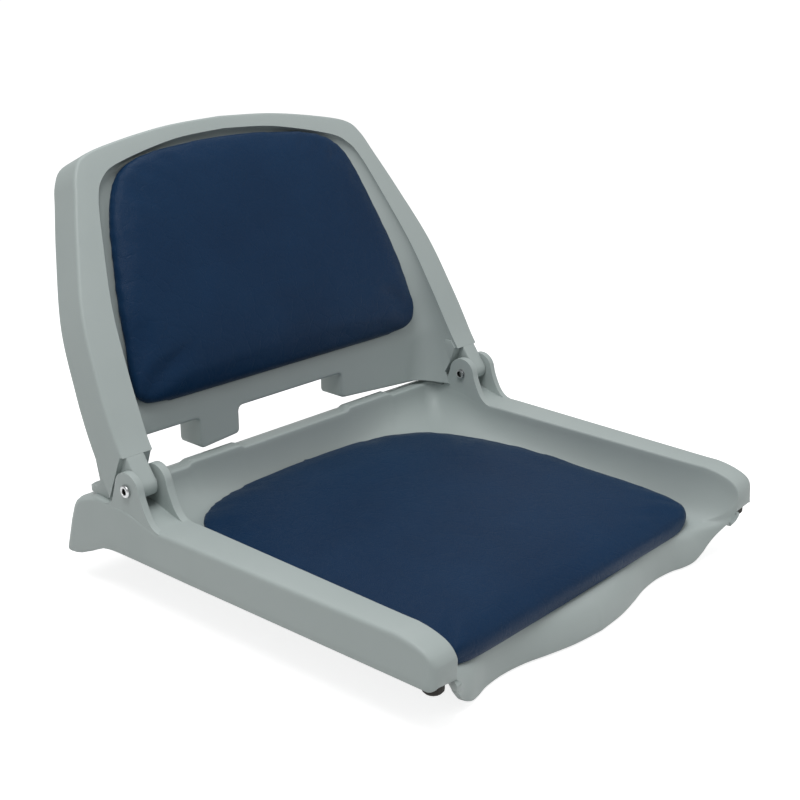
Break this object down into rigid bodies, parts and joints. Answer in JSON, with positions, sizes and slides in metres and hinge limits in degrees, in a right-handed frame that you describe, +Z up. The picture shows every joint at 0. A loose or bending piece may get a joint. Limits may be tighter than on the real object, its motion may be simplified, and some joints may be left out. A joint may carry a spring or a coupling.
{
  "type": "folding boat seat",
  "caption": "Fold-down boat seat: grey moulded seat and back shells on two riveted side hinges, each with a screwed-on navy vinyl cushion.",
  "frame": {"origin": "centre of the underside's bolt pattern, in the plane of its ribs' lower edges", "axes": "+Z up, +Y to the back of the seat, +X to the sitter's left as they sit"},
  "size_m": [0.5128, 0.5421, 0.4134],
  "materials": {
    "grey_plastic": "satin, fine moulded grain",
    "navy_vinyl": "satin marine vinyl with a leather grain",
    "cushion_foam": "open foam",
    "cushion_board": "matte",
    "screw_steel": "satin",
    "rivet_steel": "satin stainless",
    "insert_brass": "satin",
    "bumper_rubber": "matte"
  },
  "bodies": {
    "base": {"seat_shell": "grey_plastic", "seat_cushion_cover": "navy_vinyl", "seat_cushion_foam": "cushion_foam", "seat_cushion_board": "cushion_board", "seat_cushion_screw_1": "screw_steel", "seat_cushion_screw_2": "screw_steel", "seat_cushion_screw_3": "screw_steel", "seat_cushion_screw_4": "screw_steel", "mounting_insert_1": "insert_brass", "mounting_insert_2": "insert_brass", "mounting_insert_3": "insert_brass", "mounting_insert_4": "insert_brass", "hinge_rivet_left": "rivet_steel", "hinge_rivet_right": "rivet_steel", "hinge_rivet_washer_left": "rivet_steel", "hinge_rivet_washer_right": "rivet_steel", "front_bumper_left": "bumper_rubber", "front_bumper_right": "bumper_rubber"},
    "backrest": {"back_shell": "grey_plastic", "back_cushion_cover": "navy_vinyl", "back_cushion_foam": "cushion_foam", "back_cushion_board": "cushion_board", "back_cushion_screw_1": "screw_steel", "back_cushion_screw_2": "screw_steel", "back_cushion_screw_3": "screw_steel", "back_cushion_screw_4": "screw_steel"}
  },
  "joints": [
    {"name": "backrest_fold", "type": "hinge", "parent": "base", "child": "backrest", "pos_m": [0, 0.15, 0.1167], "axis": [1, 0, 0], "range_deg": [0, 118]}
  ]
}
